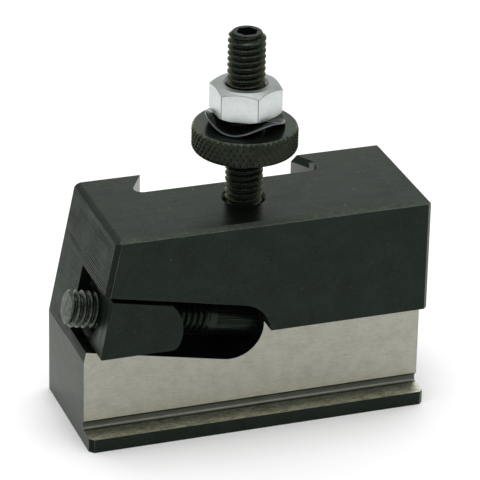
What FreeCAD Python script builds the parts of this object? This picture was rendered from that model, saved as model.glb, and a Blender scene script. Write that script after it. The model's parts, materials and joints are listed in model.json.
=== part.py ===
import FreeCAD, Part
import math
import os

from FreeCAD import Vector

# Parting-blade holder for a quick change tool post, in millimetres.
#
# Row frame: X runs along the block (the slanted end is at -X, the screw head's end at +X), Y runs from
# the blade side (-Y) to the dovetail side (+Y), and Z is up. The origin is on the bottom face, on the
# height stud's axis.

# ---- the block ----
LENGTH = 55.4
DEPTH = 22.8
HEIGHT = 35.4
STUD_TO_LEFT = 28.0           # stud axis to the left end's foot
STUD_TO_FRONT = 10.5          # stud axis to the blade-side face
SLOPE = math.radians(11.4)    # fall of the wedge pocket towards the right end
SLANT_START = 14.1            # height where the left end begins to lean
EDGE_BREAK = 0.4              # small chamfer on the plain outer edges
RIGHT_BREAK = 0.6             # chamfer down the front edge of the right end
LEFT_BREAK = 0.75             # chamfer down the front edges of the left end
LEFT_TOP_BREAK = 0.95         # chamfer along the top of the slanted end, across the top face
LEFT_TOP_DROP = 0.45          # the same chamfer, down the slanted end
FRONT_TOP_WIDTH = 1.4         # shallow bevel along the front top edge, across the top face
FRONT_TOP_DROP = 0.25         # the same bevel, down the front face

# ---- the blade seat in the front face ----
SEAT_DEPTH = 3.35             # how far the ground seat lies behind the front face
SEAT_TOP = 17.0
SEAT_BOTTOM = 3.9             # the undercut groove starts below this height
GROOVE_DEPTH = 4.0            # depth of the undercut behind the front face
GROOVE_CORNER = 0.65          # fillet where the undercut meets the ledge, ending below the seat
LEDGE_HEIGHT = 2.25           # the ledge that the blade's lower edge stands on

# ---- the inclined wedge pocket ----
POCKET_HEIGHT = 10.9          # across the slope
POCKET_DEPTH = 12.2           # from the front face
POCKET_END_X = 23.85          # centre of its round end, from the left end
POCKET_END_Z = 16.65

# ---- the dovetail in the back face ----
DOVETAIL_MOUTH = 25.2
DOVETAIL_DEPTH = 6.3
DOVETAIL_ANGLE = math.radians(60)
DOVETAIL_CORNER = 1.4         # fillet in its two inner corners
DOVETAIL_LEAD = 1.0           # chamfer on the right flank's top edge
DOVETAIL_LEAD_REACH = 3.3     # how far in from the back face that chamfer runs
UPRIGHT = 0.9                 # an edge is upright when its direction's z is more than this

# ---- M6 threads, modelled as plain cylinders ----
THREAD_RADIUS = 2.95          # crest radius of a 6 g thread
RUNNING_CLEARANCE = 0.08      # radial, between a screw and a part that turns on it
FIXED_CLEARANCE = 0.02        # radial, round the stud that is locked in the block
TIP_BREAK = 0.7               # chamfer on a screw's end

# ---- the height stud, an M6 x 35 hexagon-socket set screw ----
STUD_LENGTH = 35.0
STUD_TOP = 63.05
STUD_SOCKET = 3.0             # across flats
STUD_SOCKET_DEPTH = 3.0
STUD_COUNTERSINK = 3.6        # radius of the countersink in the block's top face

# ---- the parts on the stud ----
THUMB_NUT_RADIUS = 8.3
THUMB_NUT_BOTTOM = 43.8
THUMB_NUT_HEIGHT = 4.0
THUMB_NUT_BREAK = 0.5
WASHER_RADIUS = 6.2
WASHER_BORE = 3.2
WASHER_THICKNESS = 0.5
WASHER_RISE = 1.5             # from its low places to its high places
WASHER_WAVES = 3
WASHER_HIGH_AZIMUTH = math.radians(49.3)     # direction of one of its high places
WASHER_STATIONS = 24          # points round each of its edges
WASHER_GAP = 0.04             # between its low places and the thumb nut
LOCK_NUT_FLATS = 10.0
LOCK_NUT_BOTTOM = 49.9
LOCK_NUT_HEIGHT = 4.8
LOCK_NUT_TOP_FACE = 4.6       # radius of its flat top
LOCK_NUT_BOTTOM_FACE = 5.25   # radius of its flat bottom
LOCK_NUT_ANGLE = math.radians(30)            # slope of the cones that take its corners off

# ---- the clamp wedge ----
WEDGE_DEPTH = 11.3
WEDGE_BOTTOM = 15.95
WEDGE_TOP_GAP = 0.75          # below the pocket's ceiling, across the slope
WEDGE_INSET = 1.27            # behind the block's slanted end, along the slope
WEDGE_NOSE_RADIUS = 5.86
WEDGE_NOSE_X = 9.08           # centre of the nose, from the left end
WEDGE_NOSE_Z = 19.38
WEDGE_BREAK = 0.15            # along the rim of its left end
WEDGE_NOSE_CORNER = 1.2       # fillet between its nose and its bottom
WEDGE_COUNTERSINK = 4.2       # radius of the countersink round its threaded hole

# ---- the clamp screw, M6 x 50 with a turned-down socket head ----
SCREW_TO_FRONT = 8.6          # its axis behind the front face
SCREW_AXIS_Z = 21.0           # height of its axis where it crosses the plane of the left end
SCREW_LENGTH = 50.0           # under the head
SCREW_TIP = 3.9               # how far its tip stands out of the wedge
SCREW_TIP_BREAK = 0.45        # chamfer on its tip
SCREW_HOLE_RADIUS = 3.05
HEAD_RADIUS = 4.25
HEAD_LENGTH = 6.0
HEAD_BREAK = 0.4
HEAD_GAP = 0.05               # under the head
HEAD_SOCKET = 5.0
HEAD_SOCKET_DEPTH = 3.0
COUNTERBORE_RADIUS = 4.5

# ---- places worked out from the sizes above ----
LEFT = -STUD_TO_LEFT
RIGHT = LEFT + LENGTH
FRONT = -STUD_TO_FRONT
BACK = FRONT + DEPTH
MIDDLE = (LEFT + RIGHT) / 2   # the dovetail's centre plane
PAST = 5.0                    # how far a cutting solid runs past the block
TOUCH = 1e-4

ALONG = Vector(math.cos(SLOPE), 0, -math.sin(SLOPE))     # down the slope, to the right
ACROSS = Vector(math.sin(SLOPE), 0, math.cos(SLOPE))     # square to the slope, upwards
POCKET_END = Vector(LEFT + POCKET_END_X, 0, POCKET_END_Z)
SLANTED_END = (Vector(LEFT, 0, SLANT_START) - POCKET_END).dot(ALONG)


def on_slope(along, across):
    """A point in the XZ plane, measured from the centre of the pocket's round end."""
    return POCKET_END + ALONG * along + ACROSS * across


def slope_coordinates(point):
    """The distances of a point along and across the slope."""
    offset = point - POCKET_END
    return offset.dot(ALONG), offset.dot(ACROSS)


def prism(outline, y_from, y_to):
    """A closed outline in the XZ plane, drawn out along Y."""
    outline = Part.Wire(outline)
    outline.translate(Vector(0, y_from, 0))
    return Part.Face(outline).extrude(Vector(0, y_to - y_from, 0))


def lines(*points):
    """Straight edges through the points in order."""
    return [Part.makeLine(a, b) for a, b in zip(points, points[1:])]


def arc(start, middle, end):
    return Part.Arc(start, middle, end).toShape()


def rail(outline):
    """A closed outline in the YZ plane, drawn out along X past both ends of the block."""
    outline = Part.Wire(outline)
    outline.translate(Vector(LEFT - PAST, 0, 0))
    return Part.Face(outline).extrude(Vector(LENGTH + 2 * PAST, 0, 0))


def hexagon(flats, height, base, direction, first_normal=0.0):
    """A hexagonal prism that stands on base, first_normal being the azimuth of one of its flats."""
    corner_radius = flats / 2 / math.cos(math.pi / 6)
    corners = []
    for step in range(7):
        angle = math.radians(first_normal + 30 + 60 * step)
        corners.append(Vector(corner_radius * math.cos(angle), corner_radius * math.sin(angle), 0))
    solid = Part.Face(Part.Wire(lines(*corners))).extrude(Vector(0, 0, height))
    solid.Placement = FreeCAD.Placement(base, FreeCAD.Rotation(Vector(0, 0, 1), direction))
    return solid


def edges_between(shape, *tests):
    """The edges whose two ends both pass every test."""
    return [
        edge for edge in shape.Edges
        if len(edge.Vertexes) == 2 and all(test(v.Point) for v in edge.Vertexes for test in tests)
    ]


def at(axis, value):
    """A test that a point's x, y or z has the given value."""
    return lambda point: abs(getattr(point, axis) - value) < TOUCH


def on_slanted_end(point):
    return abs(slope_coordinates(point)[0] - SLANTED_END) < TOUCH


def turned(profile):
    """The solid that a closed (radius, height) profile makes about the Z axis."""
    points = [Vector(radius, 0, height) for radius, height in profile]
    return Part.Face(Part.Wire(lines(*points, points[0]))).revolve(Vector(), Vector(0, 0, 1), 360)


# ---------------------------------------------------------------- the block

def block_blank():
    """The outer form with its left end leaning and its outer edges broken."""
    lean = (HEIGHT - SLANT_START) * math.tan(SLOPE)
    corners = [
        Vector(LEFT, 0, 0),
        Vector(RIGHT, 0, 0),
        Vector(RIGHT, 0, HEIGHT),
        Vector(LEFT + lean, 0, HEIGHT),
        Vector(LEFT, 0, SLANT_START),
    ]
    blank = prism(lines(*corners, corners[0]), FRONT, BACK)
    back_edges = edges_between(blank, at("x", LEFT), at("y", BACK)) + edges_between(
        blank, on_slanted_end, at("y", BACK)
    )
    blank = blank.makeChamfer(EDGE_BREAK, back_edges)
    front_edges = edges_between(blank, at("x", LEFT), at("y", FRONT)) + edges_between(
        blank, on_slanted_end, at("y", FRONT)
    )
    blank = blank.makeChamfer(LEFT_BREAK, front_edges)
    top_left = edges_between(blank, on_slanted_end, at("z", HEIGHT))
    blank = blank.makeChamfer(LEFT_TOP_DROP, LEFT_TOP_BREAK, top_left)
    right_breaks = ((at("y", FRONT), RIGHT_BREAK), (at("y", BACK), EDGE_BREAK), (at("z", HEIGHT), EDGE_BREAK))
    for plane, size in right_breaks:
        blank = blank.makeChamfer(size, edges_between(blank, at("x", RIGHT), plane))
    return blank


def front_top_bevel():
    """The cut that leaves the shallow bevel along the front top edge."""
    rise_per_width = FRONT_TOP_DROP / FRONT_TOP_WIDTH
    corners = [
        Vector(0, FRONT + FRONT_TOP_WIDTH + PAST, HEIGHT + PAST * rise_per_width),
        Vector(0, FRONT - PAST, HEIGHT - FRONT_TOP_DROP - PAST * rise_per_width),
        Vector(0, FRONT - PAST, HEIGHT + PAST),
        Vector(0, FRONT + FRONT_TOP_WIDTH + PAST, HEIGHT + PAST),
    ]
    return rail(lines(*corners, corners[0]))


def blade_seat():
    """The cut that leaves the ground seat, the undercut and the ledge."""
    wall = FRONT + GROOVE_DEPTH
    undercut = GROOVE_DEPTH - SEAT_DEPTH
    corner_y = wall - GROOVE_CORNER
    corner_z = LEDGE_HEIGHT + GROOVE_CORNER
    slant = GROOVE_CORNER * math.sqrt(0.5)
    outline = lines(
        Vector(0, corner_y, LEDGE_HEIGHT),
        Vector(0, FRONT - PAST, LEDGE_HEIGHT),
        Vector(0, FRONT - PAST, SEAT_TOP),
        Vector(0, FRONT + SEAT_DEPTH, SEAT_TOP),
        Vector(0, FRONT + SEAT_DEPTH, SEAT_BOTTOM),
        Vector(0, wall, SEAT_BOTTOM - undercut),
        Vector(0, wall, corner_z),
    )
    middle = Vector(0, corner_y + slant, corner_z - slant)
    outline.append(arc(Vector(0, wall, corner_z), middle, Vector(0, corner_y, LEDGE_HEIGHT)))
    return rail(outline)


def wedge_pocket():
    """The inclined pocket, open at the left end and the front, with a round right end."""
    half = POCKET_HEIGHT / 2
    mouth = SLANTED_END - PAST
    outline = lines(on_slope(0, -half), on_slope(mouth, -half), on_slope(mouth, half), on_slope(0, half))
    outline.append(arc(on_slope(0, half), on_slope(half, 0), on_slope(0, -half)))
    return prism(outline, FRONT - PAST, FRONT + POCKET_DEPTH)


def right_flank(depth, height, grow=0.0):
    """A point of the dovetail's right flank at a depth from the back face, moved outwards by grow."""
    reach = DOVETAIL_MOUTH / 2 + depth / math.tan(DOVETAIL_ANGLE)
    return Vector(MIDDLE + reach + grow, BACK - depth, height)


def dovetail_slot():
    """The vertical dovetail, wider inside than at its mouth."""
    inner = right_flank(DOVETAIL_DEPTH, 0)
    outer = right_flank(-PAST, 0)
    mirrored = [Vector(2 * MIDDLE - point.x, point.y, 0) for point in (outer, inner)]
    corners = [inner, outer, *mirrored]
    slot = Part.Face(Part.Wire(lines(*corners, corners[0]))).extrude(Vector(0, 0, HEIGHT))
    floor_edges = edges_between(slot, at("y", BACK - DOVETAIL_DEPTH))
    upright = [edge for edge in floor_edges if abs(edge.tangentAt(edge.FirstParameter).z) > UPRIGHT]
    return slot.makeFillet(DOVETAIL_CORNER, upright)


def dovetail_lead():
    """The cut that chamfers the top edge of the dovetail's right flank."""
    rings = []
    for height, grow in ((HEIGHT - DOVETAIL_LEAD, 0), (HEIGHT, DOVETAIL_LEAD)):
        inner = right_flank(DOVETAIL_LEAD_REACH, height, grow)
        outer = right_flank(-PAST, height, grow)
        rings.append([inner, outer, Vector(MIDDLE, outer.y, height), Vector(MIDDLE, inner.y, height)])
    lower, upper = rings
    faces = [Part.Face(Part.Wire(lines(*ring, ring[0]))) for ring in rings]
    for a, b in ((0, 1), (1, 2), (2, 3), (3, 0)):
        faces.append(Part.Face(Part.Wire(lines(lower[a], lower[b], upper[b], upper[a], lower[a]))))
    return Part.Solid(Part.Shell(faces))


def screw_axis_point(along):
    """A point on the clamp screw's axis, along the slope from the pocket's end."""
    foot = Vector(LEFT, 0, SCREW_AXIS_Z)
    across = slope_coordinates(foot)[1]
    point = on_slope(along, across)
    point.y = FRONT + SCREW_TO_FRONT
    return point


WEDGE_END = SLANTED_END + WEDGE_INSET
SCREW_START = WEDGE_END - SCREW_TIP
HEAD_SEAT = SCREW_START + SCREW_LENGTH


def screw_passage():
    """The clearance hole from the pocket to the counterbore for the screw's head."""
    reach = HEAD_SEAT - HEAD_GAP
    hole = Part.makeCylinder(SCREW_HOLE_RADIUS, reach + TOUCH, screw_axis_point(0), ALONG)
    counterbore = Part.makeCylinder(COUNTERBORE_RADIUS, LENGTH, screw_axis_point(reach), ALONG)
    return hole.fuse(counterbore)


def stud_hole():
    """The blind tapped hole for the height stud, with its countersink."""
    radius = THREAD_RADIUS + FIXED_CLEARANCE
    bottom = STUD_TOP - STUD_LENGTH
    hole = Part.makeCylinder(radius, HEIGHT, Vector(0, 0, bottom))
    sink_depth = STUD_COUNTERSINK - radius
    sink = Part.makeCone(radius, STUD_COUNTERSINK, sink_depth, Vector(0, 0, HEIGHT - sink_depth))
    return hole.fuse(sink)


def holder_body():
    block = block_blank()
    block = block.cut(front_top_bevel())
    block = block.cut(blade_seat())
    block = block.cut(wedge_pocket())
    block = block.cut(dovetail_slot())
    block = block.cut(dovetail_lead())
    block = block.cut(screw_passage())
    return block.cut(stud_hole())


# ---------------------------------------------------------------- the stud and what turns on it

def threaded_blank(length, low_break, high_break):
    """A screw's plain cylinder standing on the origin, with both ends chamfered."""
    return turned([
        (0, 0),
        (THREAD_RADIUS - low_break, 0),
        (THREAD_RADIUS, low_break),
        (THREAD_RADIUS, length - high_break),
        (THREAD_RADIUS - high_break, length),
        (0, length),
    ])


def height_stud():
    stud = threaded_blank(STUD_LENGTH, TIP_BREAK, TIP_BREAK)
    stud.translate(Vector(0, 0, STUD_TOP - STUD_LENGTH))
    socket_floor = Vector(0, 0, STUD_TOP - STUD_SOCKET_DEPTH)
    return stud.cut(hexagon(STUD_SOCKET, STUD_LENGTH, socket_floor, Vector(0, 0, 1)))


def thumb_nut():
    bore = THREAD_RADIUS + RUNNING_CLEARANCE
    top = THUMB_NUT_BOTTOM + THUMB_NUT_HEIGHT
    rim = THUMB_NUT_RADIUS - THUMB_NUT_BREAK
    return turned([
        (bore, THUMB_NUT_BOTTOM),
        (rim, THUMB_NUT_BOTTOM),
        (THUMB_NUT_RADIUS, THUMB_NUT_BOTTOM + THUMB_NUT_BREAK),
        (THUMB_NUT_RADIUS, top - THUMB_NUT_BREAK),
        (rim, top),
        (bore, top),
    ])


def washer_edge(radius, lift):
    """One edge of the wave washer: a closed curve at a radius, lifted above its lowest one."""
    low = THUMB_NUT_BOTTOM + THUMB_NUT_HEIGHT + WASHER_GAP + lift
    points = []
    for station in range(WASHER_STATIONS):
        angle = 2 * math.pi * station / WASHER_STATIONS
        wave = (1 + math.cos(WASHER_WAVES * (angle - WASHER_HIGH_AZIMUTH))) / 2
        points.append(Vector(radius * math.cos(angle), radius * math.sin(angle), low + WASHER_RISE * wave))
    curve = Part.BSplineCurve()
    curve.interpolate(points, PeriodicFlag=True)
    return curve.toShape()


def spring_washer():
    """A flat ring pressed into three waves."""
    section = [
        washer_edge(WASHER_BORE, 0),
        washer_edge(WASHER_RADIUS, 0),
        washer_edge(WASHER_RADIUS, WASHER_THICKNESS),
        washer_edge(WASHER_BORE, WASHER_THICKNESS),
    ]
    faces = [Part.makeRuledSurface(a, b) for a, b in zip(section, section[1:] + section[:1])]
    washer = Part.Solid(Part.makeShell(faces))
    if washer.Volume < 0:
        washer.reverse()
    return washer


def lock_nut():
    """A hexagon nut whose corners are turned to a cone at both ends."""
    nut = hexagon(LOCK_NUT_FLATS, LOCK_NUT_HEIGHT, Vector(0, 0, LOCK_NUT_BOTTOM), Vector(0, 0, 1))
    top = LOCK_NUT_BOTTOM + LOCK_NUT_HEIGHT
    corner = LOCK_NUT_FLATS / 2 / math.cos(math.pi / 6)
    cone = math.tan(LOCK_NUT_ANGLE)
    envelope = turned([
        (0, LOCK_NUT_BOTTOM),
        (LOCK_NUT_BOTTOM_FACE, LOCK_NUT_BOTTOM),
        (corner, LOCK_NUT_BOTTOM + (corner - LOCK_NUT_BOTTOM_FACE) * cone),
        (corner, top - (corner - LOCK_NUT_TOP_FACE) * cone),
        (LOCK_NUT_TOP_FACE, top),
        (0, top),
    ])
    bore = THREAD_RADIUS + RUNNING_CLEARANCE
    return nut.common(envelope).cut(Part.makeCylinder(bore, LENGTH, Vector(0, 0, LOCK_NUT_BOTTOM - PAST)))


# ---------------------------------------------------------------- the clamp

def clamp_wedge():
    """The wedge: its top follows the pocket's ceiling, its flat bottom presses on the blade."""
    nose = Vector(LEFT + WEDGE_NOSE_X, 0, WEDGE_NOSE_Z)
    nose_along, nose_across = slope_coordinates(nose)
    top = POCKET_HEIGHT / 2 - WEDGE_TOP_GAP
    top_end = nose_along + math.sqrt(WEDGE_NOSE_RADIUS ** 2 - (top - nose_across) ** 2)
    drop = nose.z - WEDGE_BOTTOM
    bottom_end = Vector(nose.x + math.sqrt(WEDGE_NOSE_RADIUS ** 2 - drop ** 2), 0, WEDGE_BOTTOM)
    left_top = on_slope(WEDGE_END, top)
    fall = (left_top.z - WEDGE_BOTTOM) / math.cos(SLOPE)
    left_bottom = left_top - ACROSS * fall
    outline = lines(bottom_end, left_bottom, left_top, on_slope(top_end, top))
    nose_tip = nose + Vector(WEDGE_NOSE_RADIUS, 0, 0)
    outline.append(arc(on_slope(top_end, top), nose_tip, bottom_end))
    wedge = prism(outline, FRONT, FRONT + WEDGE_DEPTH)
    corner = edges_between(wedge, at("x", bottom_end.x), at("z", bottom_end.z))
    wedge = wedge.makeFillet(WEDGE_NOSE_CORNER, corner)

    def on_end(point):
        return abs(slope_coordinates(point)[0] - WEDGE_END) < TOUCH

    wedge = wedge.makeChamfer(WEDGE_BREAK, edges_between(wedge, on_end))
    hole_radius = THREAD_RADIUS + RUNNING_CLEARANCE
    hole = Part.makeCylinder(hole_radius, LENGTH, screw_axis_point(WEDGE_END - PAST), ALONG)
    sink_depth = WEDGE_COUNTERSINK - hole_radius
    sink = Part.makeCone(WEDGE_COUNTERSINK, hole_radius, sink_depth, screw_axis_point(WEDGE_END), ALONG)
    return wedge.cut(hole.fuse(sink))


def clamp_screw():
    """The screw lies along the slope, with its tip to the left and its head in the counterbore."""
    screw = threaded_blank(SCREW_LENGTH, SCREW_TIP_BREAK, TIP_BREAK)
    head_top = SCREW_LENGTH + HEAD_LENGTH
    head = turned([
        (0, SCREW_LENGTH - TIP_BREAK),
        (THREAD_RADIUS, SCREW_LENGTH - TIP_BREAK),
        (THREAD_RADIUS, SCREW_LENGTH),
        (HEAD_RADIUS, SCREW_LENGTH),
        (HEAD_RADIUS, head_top - HEAD_BREAK),
        (HEAD_RADIUS - HEAD_BREAK, head_top),
        (0, head_top),
    ])
    up = Vector(0, 0, 1)
    socket = hexagon(HEAD_SOCKET, HEAD_LENGTH, Vector(0, 0, head_top - HEAD_SOCKET_DEPTH), up)
    screw = screw.fuse(head).removeSplitter().cut(socket)
    screw.Placement = FreeCAD.Placement(screw_axis_point(SCREW_START), FreeCAD.Rotation(up, ALONG))
    return screw


NODES = {
    "holder_body": holder_body,
    "height_stud": height_stud,
    "thumb_nut": thumb_nut,
    "spring_washer": spring_washer,
    "lock_nut": lock_nut,
    "clamp_wedge": clamp_wedge,
    "clamp_screw": clamp_screw,
}

os.makedirs("parts", exist_ok=True)
for name, make in NODES.items():
    shape = make()
    solid = shape.Solids[0]
    assert len(shape.Solids) == 1 and solid.isValid(), name
    solid.exportStep(f"parts/{name}.step")
    bounds = solid.BoundBox
    print(f"{name:14s} volume {solid.Volume:9.1f}  x {bounds.XMin:7.2f} {bounds.XMax:7.2f}"
          f"  y {bounds.YMin:7.2f} {bounds.YMax:7.2f}  z {bounds.ZMin:7.2f} {bounds.ZMax:7.2f}")
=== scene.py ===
import json
import math

import bmesh
import bpy
from mathutils import Matrix, Vector


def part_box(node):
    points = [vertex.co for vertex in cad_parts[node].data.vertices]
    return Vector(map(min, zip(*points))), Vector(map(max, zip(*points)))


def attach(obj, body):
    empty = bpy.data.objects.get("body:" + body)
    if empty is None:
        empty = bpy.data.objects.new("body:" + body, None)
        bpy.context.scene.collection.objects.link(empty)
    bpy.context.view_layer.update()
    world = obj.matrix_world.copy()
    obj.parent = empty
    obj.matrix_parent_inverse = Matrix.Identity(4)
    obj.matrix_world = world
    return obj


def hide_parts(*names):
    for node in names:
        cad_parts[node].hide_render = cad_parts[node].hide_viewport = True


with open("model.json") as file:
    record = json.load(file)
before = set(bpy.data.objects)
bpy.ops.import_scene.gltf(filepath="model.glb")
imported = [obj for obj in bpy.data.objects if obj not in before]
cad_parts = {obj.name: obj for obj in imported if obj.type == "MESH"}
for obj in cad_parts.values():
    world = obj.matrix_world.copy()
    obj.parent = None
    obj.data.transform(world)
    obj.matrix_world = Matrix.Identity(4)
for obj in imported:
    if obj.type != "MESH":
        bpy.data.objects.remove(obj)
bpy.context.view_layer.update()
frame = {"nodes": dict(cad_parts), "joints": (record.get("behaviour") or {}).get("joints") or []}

# Parting-blade holder for a quick change tool post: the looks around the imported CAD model.
# Every length is in metres in the row frame: X along the block, -Y the blade side, Z up.

MM = 0.001
RECORD_JOINTS = {joint["name"]: joint for joint in frame["joints"]}


# ================================================================ measures taken from the frame

def vertices_of(node):
    return [vertex.co.copy() for vertex in frame["nodes"][node].data.vertices]


def span_along(node, origin, direction):
    """The lowest and highest distance of a CAD node's points along a line."""
    distances = [(point - origin).dot(direction) for point in vertices_of(node)]
    return min(distances), max(distances)


def radius_about(node, origin, direction):
    """The largest distance of a CAD node's points from a line."""
    return max(
        ((point - origin) - direction * (point - origin).dot(direction)).length
        for point in vertices_of(node)
    )


STUD_LOW, STUD_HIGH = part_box("height_stud")
CREST = STUD_HIGH.x
PITCH = 1.0 * MM
THREAD_DEPTH = 0.6 * MM
RUNNING_GAP = 0.04 * MM

SCREW_JOINT = RECORD_JOINTS["clamp_screw_turn"]
TO_HEAD = -Vector(SCREW_JOINT["axis"]).normalized()
SCREW_ORIGIN = Vector(SCREW_JOINT["pos_m"])
SCREW_TIP, SCREW_END = span_along("clamp_screw", SCREW_ORIGIN, TO_HEAD)
ACROSS_SLOPE = Vector((-TO_HEAD.z, 0, TO_HEAD.x))

BODY_LOW, BODY_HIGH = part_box("holder_body")


# ================================================================ materials

class Shader:
    """A material's node tree, with a short call for each kind of node that it is made of."""

    def __init__(self, name):
        self.material = bpy.data.materials.new(name)
        self.material.use_nodes = True
        self.tree = self.material.node_tree
        self.tree.nodes.clear()
        self.bsdf = self.node("ShaderNodeBsdfPrincipled")
        output = self.node("ShaderNodeOutputMaterial")
        self.tree.links.new(self.bsdf.outputs[0], output.inputs["Surface"])
        self.place = self.node("ShaderNodeTexCoord").outputs["Object"]

    def node(self, kind, inputs=None, **settings):
        made = self.tree.nodes.new(kind)
        for key, value in settings.items():
            setattr(made, key, value)
        for key, value in (inputs or {}).items():
            self.put(made.inputs[key], value)
        return made

    def put(self, socket, value):
        if isinstance(value, bpy.types.NodeSocket):
            self.tree.links.new(value, socket)
        else:
            socket.default_value = value

    def math(self, operation, first, second=0.0, clamp=False):
        made = self.node("ShaderNodeMath", {0: first, 1: second}, operation=operation, use_clamp=clamp)
        return made.outputs[0]

    def stretched(self, scale):
        """The object's own coordinates, in millimetres, times a scale along each axis."""
        per_metre = [value / MM for value in scale]
        return self.node("ShaderNodeMapping", {"Vector": self.place, "Scale": per_metre}).outputs[0]

    def noise(self, scale, detail=3.0, roughness=0.5, distortion=0.0):
        made = self.node(
            "ShaderNodeTexNoise",
            {"Vector": self.stretched(scale), "Scale": 1.0, "Detail": detail,
             "Roughness": roughness, "Distortion": distortion},
        )
        return made.outputs[0]

    def ridges(self, spacing, distortion=1.5):
        """Parallel marks along Y at a spacing in millimetres, unevenly deep."""
        made = self.node(
            "ShaderNodeTexWave",
            {"Vector": self.stretched((1, 0.05, 1)), "Scale": math.pi / 10 / spacing,
             "Distortion": distortion, "Detail": 2.0, "Detail Scale": 1.5},
            bands_direction="Z",
        )
        depth = self.ramp(self.noise((2.5, 0.1, 2.5)), 0.3, 0.7, 0.4, 1.0)
        return self.math("MULTIPLY", made.outputs[1], depth)

    def vector_math(self, operation, first, second=(0.0, 0.0, 0.0)):
        return self.node("ShaderNodeVectorMath", {0: first, 1: second}, operation=operation).outputs

    def from_line(self, origin, direction):
        """The distance from a line through a point, in metres."""
        offset = self.vector_math("SUBTRACT", self.place, origin)[0]
        across = self.vector_math("CROSS_PRODUCT", offset, direction)[0]
        return self.vector_math("LENGTH", across)["Value"]

    def cells(self, scale):
        """The distance to the nearest of scattered points."""
        made = self.node("ShaderNodeTexVoronoi", {"Vector": self.stretched(scale), "Scale": 1.0})
        return made.outputs["Distance"]

    def ramp(self, value, low, high, to_low=0.0, to_high=1.0):
        """A number carried from one range to another, held at both ends."""
        made = self.node(
            "ShaderNodeMapRange",
            {"Value": value, "From Min": low, "From Max": high, "To Min": to_low, "To Max": to_high},
        )
        return made.outputs[0]

    def mix(self, share, first, second):
        made = self.node("ShaderNodeMix", data_type="RGBA")
        self.put(made.inputs[0], share)
        self.put(made.inputs[6], first)
        self.put(made.inputs[7], second)
        return made.outputs[2]

    def bump(self, height, distance, strength=1.0, under=None):
        inputs = {"Height": height, "Distance": distance, "Strength": strength}
        if under is not None:
            inputs["Normal"] = under
        return self.node("ShaderNodeBump", inputs).outputs[0]

    def finish(self, **sockets):
        for name, value in sockets.items():
            self.put(self.bsdf.inputs[name.replace("_", " ")], value)
        return self.material


OXIDE = (0.0155, 0.0215, 0.0170)          # reflected by blackened steel, seen straight on
GLANCE = (0.95, 0.98, 0.93)               # its tint at a grazing angle
BARE = (0.2, 0.2, 0.175, 1.0)             # where the black is rubbed off
WARM = (1.03, 1.0, 0.85)                  # the browner black of the stud and the knurled nut
FAINTLY_WARM = (1.01, 0.98, 0.95)
FLOOR_TONES = ((0.94, 0.94, 0.94, 1.0), (0.97, 0.97, 0.97, 1.0))


def scaled(colour, factor):
    """A colour times a factor, as a socket's four numbers."""
    return tuple(channel * factor for channel in colour) + (1.0,)


def black_oxide(name, lines, line_depth, rough, dark=1.0, glance=1.0, contrast=0.25, worn=0.0,
                flecks=0.12, ridge_spacing=None, on_slope=False, tint=(1.0, 1.0, 1.0), painted_shade_axis=None):
    """Blackened steel. lines is the texture scale along each axis: a small number draws it out.

    dark and glance scale what it reflects straight on and at a grazing angle, contrast is how much
    that varies along the lines, worn how far the black is rubbed off in patches, and flecks how
    bright the scattered specks and scratches are. ridge_spacing adds regular marks of a milling cutter.
    on_slope turns the texture's X axis along the clamp screw, and tint shifts the black's colour.
    The last argument is an axis, as a point and a direction, and two distances from it, between which
    a deep black, a painted shade, gives way to the finish's own look.
    """
    s = Shader(name)
    oxide = tuple(part * share for part, share in zip(OXIDE, tint))
    glancing = tuple(part * share for part, share in zip(GLANCE, tint))
    # Painted shade: towards an axis the black turns deeper, in thread roots and beside the clamp screw.
    deep = None
    if painted_shade_axis:
        point, direction, near, far = painted_shade_axis
        deep = s.ramp(s.from_line(point, direction), near, far, 1.0, 0.0)
    if on_slope:
        tilt = math.atan2(TO_HEAD.z, TO_HEAD.x)
        s.place = s.node("ShaderNodeMapping", {"Vector": s.place, "Rotation": (0, tilt, 0)}).outputs[0]
    streaks = s.noise(lines, detail=4.0, roughness=0.7)
    if ridge_spacing:
        streaks = s.mix(0.5, streaks, s.ridges(ridge_spacing))
    cloud = s.noise((0.2, 0.2, 0.2), detail=5.0, roughness=0.6)
    grain = s.noise((6, 6, 6), detail=3.0, roughness=0.7)
    share = s.ramp(streaks, 0.3, 0.7, 0.5 - contrast, 0.5 + contrast)
    share = s.math("ADD", share, s.ramp(cloud, 0.3, 0.7, -0.12, 0.12))
    share = s.math("ADD", share, s.ramp(grain, 0.3, 0.7, -0.08, 0.08))
    pit = s.ramp(s.cells((0.4, 0.4, 0.4)), 0.05, 0.08, -0.25, 0.0)
    share = s.math("ADD", share, pit, clamp=True)
    straight = s.mix(share, scaled(oxide, 0.35 * dark), scaled(oxide, 1.65 * dark))
    low_glance, high_glance = glance * (1 - contrast), glance * (1 + 0.4 * contrast)
    grazing = s.mix(share, scaled(glancing, low_glance), scaled(glancing, high_glance))
    rubbed = s.math("MULTIPLY", s.ramp(s.noise((1.3, 1.3, 1.3), detail=6.0), 0.4, 0.65), worn)
    speck = s.ramp(s.cells((0.8, 0.8, 0.8)), 0.085, 0.04)
    scratch = s.ramp(s.noise((1.6, 0.35, 1.6), detail=2.0, distortion=2.5), 0.695, 0.72)
    marks = s.math("MULTIPLY", s.math("MAXIMUM", speck, scratch), flecks)
    straight = s.mix(s.math("MAXIMUM", rubbed, marks), straight, BARE)
    # The painted shade near the axis.
    if deep:
        straight = s.mix(deep, straight, scaled(oxide, 0.2))
        grazing = s.mix(deep, grazing, scaled(glancing, 0.15))
    roughness = s.ramp(share, 0.2, 0.8, rough - 0.04, rough + 0.05)
    normal = s.bump(streaks, line_depth, under=s.bump(grain, 0.003 * MM))
    return s.finish(Base_Color=straight, Metallic=0.8, IOR=1.28, Roughness=roughness,
                    Specular_Tint=grazing, Normal=normal)


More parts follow.
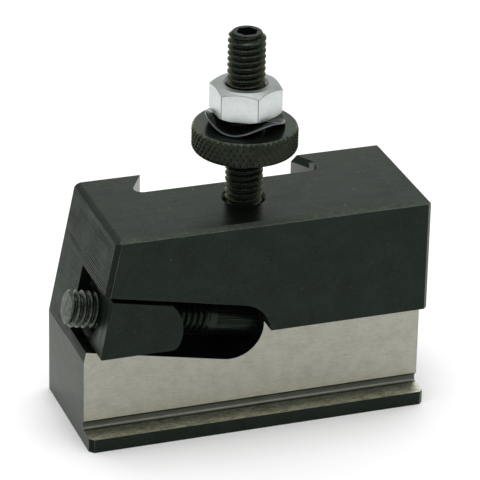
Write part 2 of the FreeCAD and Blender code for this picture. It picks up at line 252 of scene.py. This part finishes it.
def bare_steel(name, lines, tint, rough, line_depth=0.006 * MM, blotch=0.06, stained=0.5):
    """Ground or milled steel with its machining lines along one axis.

    blotch is how much its tone varies along the lines, and stained how much more in patches.
    """
    s = Shader(name)
    streaks = s.noise(lines, detail=5.0, roughness=0.75)
    grain = s.noise((2.5, 6, 6), detail=3.0, roughness=0.8)
    cloud = s.noise((0.4, 0.4, 0.4), detail=5.0, roughness=0.65)
    share = s.math("ADD", s.ramp(streaks, 0.3, 0.7), s.ramp(grain, 0.3, 0.7, -0.3, 0.3))
    share = s.math("ADD", share, s.ramp(cloud, 0.4, 0.7, 0.5 * stained, -0.5 * stained), clamp=True)
    low = [channel * (1 - blotch) for channel in tint] + [1.0]
    high = [channel * (1 + blotch) for channel in tint] + [1.0]
    colour = s.mix(share, low, high)
    roughness = s.ramp(streaks, 0.3, 0.7, rough - 0.05, rough + 0.06)
    return s.finish(Base_Color=colour, Metallic=1.0, Roughness=roughness, Normal=s.bump(streaks, line_depth))


def all_finishes():
    """Every finish of the object, by name."""
    along_x, along_z = (0.1, 4, 4), (4, 4, 0.1)
    # Axes of painted shade: a deep black in the thread roots of the stud and the screw, and on the wedge's
    # end beside the clamp screw.
    stud_root_shade = (Vector(), Vector((0, 0, 1)), CREST - 1.2 * MM, CREST - 0.05 * MM)
    screw_root_shade = (SCREW_ORIGIN, TO_HEAD, CREST - 1.2 * MM, CREST - 0.1 * MM)
    shade_beside_screw = (SCREW_ORIGIN, TO_HEAD, 3.6 * MM, 5.9 * MM)
    return {
        "plain": black_oxide(
            "black_plain", (1.5, 1.5, 1.5), 0.002 * MM, 0.34, dark=0.9, glance=0.94, contrast=0.1,
        ),
        "top": black_oxide("black_top", along_x, 0.003 * MM, 0.28, contrast=0.2, flecks=0.45),
        "milled": black_oxide(
            "black_milled", (3, 0.06, 3), 0.01 * MM, 0.32, glance=0.84, contrast=0.5, ridge_spacing=0.4,
        ),
        "left": black_oxide(
            "black_left", (1, 4, 1.2), 0.003 * MM, 0.3, glance=0.97, contrast=0.22, worn=0.1,
        ),
        # Painted light and shade on the chamfers: those facing right along the front are painted lighter,
        # with some wear, the others darker.
        "edge": black_oxide("black_edge_painted_shade", along_x, 0.004 * MM, 0.3, dark=0.65, glance=0.9),
        "edge_wear_and_painted_light": black_oxide("edge_wear_and_painted_light", along_z, 0.004 * MM, 0.4, dark=2.6, worn=0.25),
        "bevel": black_oxide(
            "black_bevel", along_x, 0.004 * MM, 0.62, dark=2.6, glance=0.8, contrast=0.25, worn=0.15,
            tint=FAINTLY_WARM,
        ),
        # The rounded edges of the block: bare steel, partly wear and partly a painted highlight along them.
        "rim": bare_steel("rim_wear_and_highlight", (1.2, 1.2, 1.2), (0.22, 0.23, 0.225), 0.38, 0.002 * MM, 0.8),
        "wedge": black_oxide(
            "black_wedge", (2.2, 0.4, 2.2), 0.003 * MM, 0.36, dark=0.85, contrast=0.15,
        ),
        "wedge_end": black_oxide(
            "black_wedge_end", along_z, 0.014 * MM, 0.32, dark=1.2, glance=0.95, contrast=0.55,
            on_slope=True, painted_shade_axis=shade_beside_screw,
        ),
        "stud": black_oxide(
            "black_stud", (3, 3, 3), 0.006 * MM, 0.26, dark=1.1, contrast=0.3, worn=0.1, flecks=0.45,
            tint=WARM, painted_shade_axis=stud_root_shade,
        ),
        "screw": black_oxide(
            "black_screw", (3, 3, 3), 0.003 * MM, 0.24, dark=1.1, glance=0.9, contrast=0.15,
        ),
        "thread": black_oxide(
            "worn_thread_shaded_roots", (3, 3, 3), 0.004 * MM, 0.26, dark=2.2, contrast=0.3, worn=0.4,
            painted_shade_axis=screw_root_shade,
        ),
        "shank": black_oxide(
            "black_shank", (0.05, 5, 5), 0.014 * MM, 0.3, dark=0.75, contrast=0.9, on_slope=True,
        ),
        "tip": black_oxide("rough_tip", (4, 4, 4), 0.02 * MM, 0.4, dark=2.5, contrast=0.4, worn=0.6),
        "nut": black_oxide(
            "black_nut", (3, 3, 3), 0.005 * MM, 0.28, dark=0.85, glance=1.1, contrast=0.25, worn=0.04,
            tint=WARM,
        ),
        "nut_face": black_oxide(
            "black_nut_face", (2, 2, 2), 0.001 * MM, 0.2, dark=1.6, glance=1.05, contrast=0.1,
        ),
        "nut_edge": black_oxide(
            "worn_nut_edge", (3, 3, 3), 0.003 * MM, 0.34, dark=2.0, contrast=0.3, worn=0.35, tint=WARM,
        ),
        "washer": black_oxide(
            "black_washer", (2, 2, 2), 0.001 * MM, 0.16, dark=1.2, contrast=0.1, flecks=0.0,
        ),
        # Painted highlight: the washer's rounded outer rim is given a lighter, bluish steel colour.
        "washer_rim": bare_steel(
            "washer_rim_painted_highlight", (2, 2, 2), (0.10, 0.115, 0.13), 0.2, 0.002 * MM, 0.2,
        ),
        "seat": bare_steel(
            "ground_seat", (0.7, 4.5, 4.5), (0.325, 0.321, 0.273), 0.38, 0.012 * MM, 0.14,
        ),
        "groove": bare_steel("oxidised_groove", along_x, (0.078, 0.086, 0.078), 0.46, 0.008 * MM, 0.2),
        "fillet": bare_steel("milled_fillet", along_x, (0.2, 0.2, 0.165), 0.38, 0.008 * MM, 0.2),
        "ledge": bare_steel(
            "milled_ledge", (0.8, 5, 5), (0.7, 0.695, 0.545), 0.3, 0.05 * MM, 0.65, 0.3,
        ),
        "flank": bare_steel("ground_flank", along_z, (0.17, 0.175, 0.16), 0.35),
        "zinc": bare_steel("zinc_plate", (1.5, 1.5, 1.5), (0.60, 0.635, 0.62), 0.42, 0.006 * MM, 0.08),
        # Painted shade: the nut's flat ends get about half the brightness of its flats, and its rounded
        # corners and chamfers darker still.
        "zinc_face_painted_shade": bare_steel(
            "zinc_face_painted_shade", (2.5, 2.5, 2.5), (0.315, 0.337, 0.32), 0.5, 0.004 * MM, 0.12,
        ),
        "zinc_rim_painted_shade": bare_steel("zinc_rim_painted_shade", (2, 2, 2), (0.24, 0.26, 0.25), 0.3, 0.002 * MM, 0.1),
    }


FINISH = all_finishes()


# ================================================================ mesh building

def piece_from(bm, name, finishes):
    """A linked object made of a finished bmesh."""
    bmesh.ops.recalc_face_normals(bm, faces=bm.faces)
    mesh = bpy.data.meshes.new(name)
    bm.to_mesh(mesh)
    bm.free()
    for finish in finishes:
        mesh.materials.append(FINISH[finish])
    piece = bpy.data.objects.new(name, mesh)
    bpy.context.scene.collection.objects.link(piece)
    return piece


def bake(piece):
    """Applies a piece's modifiers."""
    evaluated = piece.evaluated_get(bpy.context.evaluated_depsgraph_get())
    mesh = bpy.data.meshes.new_from_object(evaluated)
    piece.modifiers.clear()
    old = piece.data
    piece.data = mesh
    name = old.name
    bpy.data.meshes.remove(old)
    mesh.name = name


def shade(piece, angle=30):
    """Smooth shading with the edges above an angle kept sharp."""
    mesh = piece.data
    mesh.shade_smooth()
    mesh.set_sharp_from_angle(angle=math.radians(angle))


def soften(piece, width, rim, segments=2, angle=28):
    """Rounds the sharp edges by a small width, the rounded strips having the finish at index rim."""
    bevel = piece.modifiers.new("soften", "BEVEL")
    bevel.width = width
    bevel.segments = segments
    bevel.limit_method = "ANGLE"
    bevel.angle_limit = math.radians(angle)
    bevel.miter_outer = "MITER_ARC"
    bevel.material = rim
    piece.data.shade_smooth()
    weights = piece.modifiers.new("weights", "WEIGHTED_NORMAL")
    weights.weight = 100
    weights.keep_sharp = True
    bake(piece)


def cut_out(piece, cutter):
    """Takes one closed mesh out of another."""
    boolean = piece.modifiers.new("cut", "BOOLEAN")
    boolean.operation = "DIFFERENCE"
    boolean.solver = "EXACT"
    boolean.object = cutter
    bake(piece)
    bpy.data.objects.remove(cutter)


def rings_to_bmesh(rings, columns):
    """A closed ring-shaped surface. Each ring is a function from an angle to a radius and a height."""
    bm = bmesh.new()
    grid = []
    for ring in rings:
        row = []
        for column in range(columns):
            angle = 2 * math.pi * column / columns
            radius, height = ring(angle)
            row.append(bm.verts.new((radius * math.cos(angle), radius * math.sin(angle), height)))
        grid.append(row)
    for row, following in zip(grid, grid[1:] + grid[:1]):
        for column in range(columns):
            beside = (column + 1) % columns
            bm.faces.new((row[column], row[beside], following[beside], following[column]))
    return bm


def circle(radius, height):
    return lambda angle: (radius, height)


# Shares of the pitch and of the thread's depth at the points of one thread, from its crest.
THREAD_SHAPE = (
    (0.00, 0.08),
    (0.05, 0.0),
    (0.15, 0.0),
    (0.20, 0.08),
    (0.46, 0.92),
    (0.52, 1.0),
    (0.68, 1.0),
    (0.74, 0.92),
)
THREAD_COLUMNS = 64


def thread_surface(low, high, low_cone, high_cone, fade_from=None):
    """An open helical surface about Z between two heights.

    Each cone is the thread's largest radius at that end, growing at 45 degrees away from it. Past
    fade_from the groove runs out to nothing over one and a half turns.
    """
    bm = bmesh.new()
    first = math.floor(low / PITCH) - 2
    last = math.ceil(high / PITCH) + 1
    per_turn = len(THREAD_SHAPE)
    grid = []
    for turn in range(first, last + 1):
        for share, depth_share in THREAD_SHAPE:
            row = []
            for column in range(THREAD_COLUMNS):
                angle = 2 * math.pi * column / THREAD_COLUMNS
                height = (turn + share + column / THREAD_COLUMNS) * PITCH
                depth = THREAD_DEPTH * depth_share
                if fade_from is not None:
                    depth *= min(1.0, max(0.0, 1 - (height - fade_from) / (1.5 * PITCH)))
                radius = CREST - depth
                radius = min(radius, low_cone + max(0.0, height - low))
                radius = min(radius, high_cone + max(0.0, high - height))
                row.append(bm.verts.new((radius * math.cos(angle), radius * math.sin(angle), height)))
            grid.append(row)
    for index in range(len(grid) - per_turn - 1):
        for column in range(THREAD_COLUMNS):
            beside = (column + 1) % THREAD_COLUMNS
            step = per_turn if beside == 0 else 0
            a, b = grid[index][column], grid[index + step][beside]
            c, d = grid[index + step + 1][beside], grid[index + 1][column]
            bm.faces.new((a, b, c, d))
    for height, outwards in ((low, -1), (high, 1)):
        bmesh.ops.bisect_plane(
            bm,
            geom=bm.verts[:] + bm.edges[:] + bm.faces[:],
            dist=1e-9,
            plane_co=(0, 0, height),
            plane_no=(0, 0, outwards),
            clear_outer=True,
        )
    bmesh.ops.delete(bm, geom=[vert for vert in bm.verts if not vert.link_faces], context="VERTS")
    return bm


def rim_at(bm, height):
    """The open edges that lie at a height."""
    return [
        edge for edge in bm.edges
        if edge.is_boundary and all(abs(vert.co.z - height) < 1e-7 for vert in edge.verts)
    ]


def carry_on(bm, rim, stations):
    """Extends an open rim through circles of a radius and a height, and closes the last one."""
    for radius, height in stations:
        made = bmesh.ops.extrude_edge_only(bm, edges=rim)["geom"]
        for vert in (item for item in made if isinstance(item, bmesh.types.BMVert)):
            flat = Vector((vert.co.x, vert.co.y, 0)).normalized() * radius
            vert.co = (flat.x, flat.y, height)
        rim = [item for item in made if isinstance(item, bmesh.types.BMEdge)
               and all(abs(vert.co.z - height) < 1e-7 for vert in item.verts)
               and item.is_boundary]
    bmesh.ops.contextual_create(bm, geom=rim)


def hexagon_cutter(flats, low, high):
    """A hexagonal prism with a shallow cone at its lower end, for a key's socket."""
    bm = bmesh.new()
    corner = flats / 2 / math.cos(math.pi / 6)
    rings = []
    for height in (low, high):
        rings.append([
            bm.verts.new((corner * math.cos(math.pi * k / 3), corner * math.sin(math.pi * k / 3), height))
            for k in range(6)
        ])
    point = bm.verts.new((0, 0, low - 0.25 * flats))
    bm.faces.new(rings[1])
    for k in range(6):
        following = (k + 1) % 6
        bm.faces.new((rings[0][k], rings[0][following], rings[1][following], rings[1][k]))
        bm.faces.new((rings[0][following], rings[0][k], point))
    return piece_from(bm, "cutter", [])


def refinish(piece, name, test):
    """Gives the faces whose middle and normal pass a test another finish."""
    mesh = piece.data
    mesh.materials.append(FINISH[name])
    for polygon in mesh.polygons:
        if test(polygon.center, polygon.normal):
            polygon.material_index = len(mesh.materials) - 1


def place(piece, body, node):
    """Puts a finished piece in the model in the place of its CAD node."""
    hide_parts(node)
    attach(piece, body)


# ================================================================ the block and the wedge

def copied_solid(node):
    """A CAD node's form as a mesh of our own, with its flat faces made whole."""
    bm = bmesh.new()
    bm.from_mesh(frame["nodes"][node].data)
    bmesh.ops.remove_doubles(bm, verts=bm.verts, dist=2e-6)
    bmesh.ops.dissolve_limit(bm, angle_limit=math.radians(0.4), verts=bm.verts, edges=bm.edges)
    bm.normal_update()
    return bm


BODY_FINISHES = [
    "plain", "top", "bevel", "milled", "left", "edge", "edge_wear_and_painted_light", "rim",
    "seat", "groove", "fillet", "ledge", "flank",
]
SEAT_Y = BODY_LOW.y + 3.35 * MM
SEAT_TOP = 17 * MM
SEAT_BOTTOM = 3.9 * MM
LEDGE_TOP = 2.25 * MM
DOVETAIL_FLOOR_Y = BODY_HIGH.y - 6.3 * MM
DOVETAIL_ANGLE = math.radians(60)
NEAR = 0.1 * MM


def seat_finish(normal, centre):
    """Which finish a face in the blade's recess has, or None outside it."""
    if centre.y > BODY_LOW.y + 4.1 * MM or centre.z > SEAT_TOP or centre.z < LEDGE_TOP - NEAR:
        return None
    if normal.z > 0.999 and centre.z < LEDGE_TOP + NEAR:
        return "ledge"
    if normal.y > -0.1 or centre.y < SEAT_Y - NEAR:
        return None
    if normal.y < -0.999 and centre.y < SEAT_Y + NEAR:
        return "seat"
    return "fillet" if normal.z > 0.55 else "groove"


def body_finish(normal, centre):
    """Which finish a face of the block has."""
    in_seat = seat_finish(normal, centre)
    if in_seat:
        return in_seat
    if normal.z > 0.98:
        return "bevel" if normal.y < -0.1 else "top"
    if normal.dot(-TO_HEAD) > 0.999:
        return "milled"
    if normal.x < -0.999 and centre.x < BODY_LOW.x + NEAR:
        return "left"
    in_dovetail = DOVETAIL_FLOOR_Y - NEAR < centre.y < BODY_HIGH.y - NEAR
    if in_dovetail and abs(abs(normal.x) - math.sin(DOVETAIL_ANGLE)) < 0.02 and abs(normal.z) < 0.02:
        return "flank"
    if in_dovetail:
        return "plain"
    on_outside = centre.y < BODY_LOW.y + 1 * MM or centre.z > BODY_HIGH.z - 1.2 * MM
    # Chamfers: painted light on those facing right along the front, painted shade on the rest.
    if on_outside and max(abs(component) for component in normal) < 0.97:
        return "edge_wear_and_painted_light" if normal.x > 0.5 and centre.y < BODY_LOW.y + 1 * MM else "edge"
    return "plain"


def make_body():
    bm = copied_solid("holder_body")
    for face in bm.faces:
        finish = body_finish(face.normal, face.calc_center_median())
        face.material_index = BODY_FINISHES.index(finish)
    body = piece_from(bm, "block", BODY_FINISHES)
    # The rounded strips take the rim finish: wear and a painted highlight.
    soften(body, 0.09 * MM, BODY_FINISHES.index("rim"))
    place(body, "holder", "holder_body")


WEDGE_FINISHES = ["wedge", "wedge_end"]


def make_wedge():
    bm = copied_solid("clamp_wedge")
    for face in bm.faces:
        on_end = face.normal.dot(-TO_HEAD) > 0.99
        face.material_index = WEDGE_FINISHES.index("wedge_end" if on_end else "wedge")
    wedge = piece_from(bm, "wedge", WEDGE_FINISHES)
    soften(wedge, 0.06 * MM, WEDGE_FINISHES.index("wedge"))
    place(wedge, "wedge", "clamp_wedge")


# ================================================================ the stud and what turns on it

TIP_BREAK = 0.7 * MM


def make_stud():
    low, high = STUD_LOW.z, STUD_HIGH.z
    tip = CREST - TIP_BREAK
    bm = thread_surface(low, high, tip, tip)
    for height in (low, high):
        carry_on(bm, rim_at(bm, height), [(tip, height)])
    stud = piece_from(bm, "stud", ["stud"])
    cut_out(stud, hexagon_cutter(3.0 * MM, high - 3 * MM, high + 1 * MM))
    refinish(stud, "screw", lambda centre, normal: centre.xy.length < 2 * MM)
    shade(stud, 50)
    place(stud, "holder", "height_stud")


KNURLS = 54
KNURL_STEPS = 8
KNURL_DEPTH = 0.28 * MM


def make_thumb_nut():
    low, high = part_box("thumb_nut")
    outer = high.x
    bore = CREST + RUNNING_GAP
    rim_break = 0.45 * MM
    columns = KNURLS * KNURL_STEPS
    knurl_width = 2 * math.pi * outer / KNURLS
    rows = round((high.z - low.z) / knurl_width * KNURL_STEPS * 0.62)

    def knurled(share):
        height = low.z + (high.z - low.z) * share

        def ring(angle):
            around = angle * KNURLS / (2 * math.pi)
            up = rows * share / KNURL_STEPS
            groove = max(abs(2 * ((around + way * up) % 1) - 1) for way in (-1, 1))
            radius = outer - KNURL_DEPTH * groove
            edge = min(height - low.z, high.z - height)
            return min(radius, outer - rim_break + edge), height

        return ring

    sink = 0.5 * MM
    rings = [circle(bore, low.z + sink), circle(bore + sink, low.z)]
    rings += [circle(outer - rim_break - 0.4 * MM, low.z)]
    rings += [knurled(row / rows) for row in range(rows + 1)]
    rings += [circle(outer - rim_break - 0.4 * MM, high.z)]
    rings += [circle(bore + sink, high.z), circle(bore, high.z - sink)]
    nut = piece_from(rings_to_bmesh(rings, columns), "knurled_nut", ["nut"])
    refinish(nut, "nut_face", lambda centre, normal: abs(normal.z) > 0.99)

    def on_break(centre, normal):
        return 0.5 < abs(normal.z) < 0.99 and centre.xy.length > outer - 1.5 * rim_break

    refinish(nut, "nut_edge", on_break)
    shade(nut, 35)
    place(nut, "thumb_nut", "thumb_nut")


WASHER_BORE = 3.2 * MM
WASHER_RADIUS = 6.2 * MM
WASHER_THICKNESS = 0.5 * MM
WASHER_WAVES = 3
WASHER_HIGH_AZIMUTH = math.radians(49.3)


def make_washer():
    low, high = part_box("spring_washer")
    rise = high.z - low.z - WASHER_THICKNESS
    half = WASHER_THICKNESS / 2

    def waved(radius, height):
        def ring(angle):
            wave = (1 + math.cos(WASHER_WAVES * (angle - WASHER_HIGH_AZIMUTH))) / 2
            return radius, low.z + half + height + rise * wave

        return ring

    section = []
    corner = 0.6 * half
    #     Known fault: the outer half runs from top to bottom like the inner one, so the two flat faces
    #     cross. It should run from bottom to top.
    for end, way in ((WASHER_BORE + corner, -1), (WASHER_RADIUS - corner, 1)):
        for step in range(9):
            turn = way * (math.pi / 2 - math.pi * step / 8) + (math.pi if way < 0 else 0)
            section.append((end + corner * math.cos(turn), half * math.sin(turn)))
    rings = [waved(radius, height) for radius, height in section]
    washer = piece_from(rings_to_bmesh(rings, 144), "wave_washer", ["washer"])
    # The rounded outer rim takes the painted highlight.
    refinish(washer, "washer_rim", lambda centre, normal: centre.xy.length > WASHER_RADIUS - 0.06 * MM)
    shade(washer, 60)
    place(washer, "washer", "spring_washer")


NUT_TOP_FACE = 4.6 * MM
NUT_BOTTOM_FACE = 5.25 * MM
NUT_CONE = math.radians(30)
NUT_CORNER = 0.3 * MM
NUT_EDGE_FROM = 1.142         # the rounded corners lie beyond this share of half the width over the flats


def rounded_hexagon(half_flats, corner):
    """The radius of a hexagon with rounded corners, as a function of the angle."""
    arc_middle = (half_flats - corner) / math.cos(math.pi / 6)
    flat_end = math.atan((half_flats - corner) * math.tan(math.pi / 6) / half_flats)

    def radius(angle):
        within = abs((angle + math.pi / 6) % (math.pi / 3) - math.pi / 6)
        if within < flat_end:
            return half_flats / math.cos(within)
        off = math.pi / 6 - within
        return arc_middle * math.cos(off) + math.sqrt(corner ** 2 - (arc_middle * math.sin(off)) ** 2)

    return radius


def make_lock_nut():
    low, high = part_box("lock_nut")
    side = rounded_hexagon(high.x, NUT_CORNER)
    bore = CREST + RUNNING_GAP

    def coned(end, face, inset, lower):
        """The outline where a turned cone meets the flats, moved in and along for the soft edge."""
        inwards = 1 if end == low.z else -1

        def ring(angle):
            radius = side(angle)
            height = end + inwards * (max(0.0, radius - face) * math.tan(NUT_CONE) + lower)
            return radius - inset, height

        return ring

    sink = 0.5 * MM
    soft = 0.12 * MM
    corner_steps = ((soft, 0.0), (0.3 * soft, 0.3 * soft), (0.0, soft))
    rings = [circle(bore, low.z + sink), circle(bore + sink, low.z), circle(high.x - 3 * soft, low.z)]
    rings += [coned(low.z, NUT_BOTTOM_FACE, inset, lower) for inset, lower in corner_steps]
    rings += [coned(high.z, NUT_TOP_FACE, inset, lower) for inset, lower in reversed(corner_steps)]
    rings += [circle(NUT_TOP_FACE - soft, high.z), circle(bore + sink, high.z), circle(bore, high.z - sink)]
    nut = piece_from(rings_to_bmesh(rings, 360), "hex_nut", ["zinc"])
    # Painted shade on the nut's flat ends, then on its rounded corners and chamfers.
    refinish(nut, "zinc_face_painted_shade", lambda centre, normal: abs(normal.z) > 0.6)

    def on_soft_edge(centre, normal):
        return centre.xy.length > NUT_EDGE_FROM * high.x or 0.15 < abs(normal.z) < 0.8

    refinish(nut, "zinc_rim_painted_shade", on_soft_edge)
    shade(nut, 24)
    place(nut, "lock_nut", "lock_nut")


# ================================================================ the clamp screw

SCREW_LENGTH = 50 * MM
THREADED_LENGTH = 24 * MM
TIP_DOME = 0.15 * MM
WORN_LENGTH = 8 * MM
SCREW_TIP_BREAK = 0.45 * MM
HEAD_BREAK = 0.4 * MM


def make_clamp_screw():
    tip = CREST - SCREW_TIP_BREAK
    seat = SCREW_LENGTH
    top = SCREW_END - SCREW_TIP
    head = radius_about("clamp_screw", SCREW_ORIGIN, TO_HEAD)
    bm = thread_surface(0.0, THREADED_LENGTH, tip, CREST, THREADED_LENGTH - 2 * PITCH)
    dome = [(tip * math.sqrt(1 - share), -TIP_DOME * share) for share in (0.0, 0.3, 0.6, 0.85, 0.97)]
    carry_on(bm, rim_at(bm, 0.0), dome)
    carry_on(bm, rim_at(bm, THREADED_LENGTH), [
        (CREST, THREADED_LENGTH),
        (CREST, seat),
        (head, seat),
        (head, top - HEAD_BREAK),
        (head - HEAD_BREAK, top),
    ])
    screw = piece_from(bm, "socket_screw", ["screw"])
    cut_out(screw, hexagon_cutter(5.0 * MM, top - 3 * MM, top + 1 * MM))
    refinish(screw, "tip", lambda centre, normal: centre.z < 0)
    refinish(screw, "thread", lambda centre, normal: 0 < centre.z < WORN_LENGTH)
    refinish(screw, "shank", lambda centre, normal: centre.z > THREADED_LENGTH)
    #     Known fault: the minus sign mirrors the screw, so its thread is left-handed and its mesh is
    #     inside out. Without the minus sign it would be right.
    axes = Matrix((-ACROSS_SLOPE.cross(TO_HEAD), ACROSS_SLOPE, TO_HEAD)).transposed().to_4x4()
    axes.translation = SCREW_ORIGIN + TO_HEAD * SCREW_TIP
    screw.data.transform(axes)
    shade(screw, 50)
    place(screw, "clamp_screw", "clamp_screw")


make_body()
make_wedge()
make_stud()
make_thumb_nut()
make_washer()
make_lock_nut()
make_clamp_screw()


# ================================================================ floor, light and camera

def make_floor():
    bm = bmesh.new()
    bmesh.ops.create_grid(bm, x_segments=1, y_segments=1, size=3.0)
    s = Shader("floor_white")
    grain = s.noise((0.05, 0.05, 0.05))
    s.finish(Base_Color=s.mix(grain, *FLOOR_TONES), Roughness=0.6)
    mesh = bpy.data.meshes.new("floor")
    bm.to_mesh(mesh)
    bm.free()
    mesh.materials.append(s.material)
    floor = bpy.data.objects.new("floor", mesh)
    floor.location.z = -0.02 * MM
    bpy.context.scene.collection.objects.link(floor)


def make_light(name, position, size, power):
    """A square soft light that faces the block."""
    data = bpy.data.lights.new(name, "AREA")
    data.shape = "SQUARE"
    data.size = size
    data.energy = power
    light = bpy.data.objects.new(name, data)
    light.location = position
    towards = Vector((0, 0, 0.02)) - Vector(position)
    light.rotation_euler = towards.to_track_quat("-Z", "Y").to_euler()
    bpy.context.scene.collection.objects.link(light)


def make_world(strength):
    world = bpy.data.worlds.new("studio")
    world.use_nodes = True
    background = world.node_tree.nodes["Background"]
    background.inputs["Color"].default_value = (1.0, 1.0, 1.0, 1.0)
    background.inputs["Strength"].default_value = strength
    bpy.context.scene.world = world


CAMERA_AZIMUTH = math.radians(-19.79)
CAMERA_ELEVATION = math.radians(25.71)
CAMERA_ROLL = math.radians(1.293)
CAMERA_DISTANCE = 0.5296
CAMERA_TARGET = Vector((0.0002, 0.0017, 0.0271))
CAMERA_LENS = 253.7


def make_camera():
    data = bpy.data.cameras.new("camera")
    data.lens = CAMERA_LENS
    data.sensor_width = 36
    data.clip_start = 0.01
    camera = bpy.data.objects.new("camera", data)
    turn = Matrix.Rotation(CAMERA_AZIMUTH, 4, "Z") @ Matrix.Rotation(math.pi / 2 - CAMERA_ELEVATION, 4, "X")
    turn = turn @ Matrix.Rotation(CAMERA_ROLL, 4, "Z")
    back = turn.to_3x3() @ Vector((0, 0, 1))
    camera.matrix_world = Matrix.Translation(CAMERA_TARGET + back * CAMERA_DISTANCE) @ turn
    bpy.context.scene.collection.objects.link(camera)
    bpy.context.scene.camera = camera


make_floor()
make_light("overhead", (0.02, 0.05, 0.7), 0.35, 1.8)
make_world(0.92)
make_camera()
bpy.context.scene.view_settings.view_transform = "Standard"
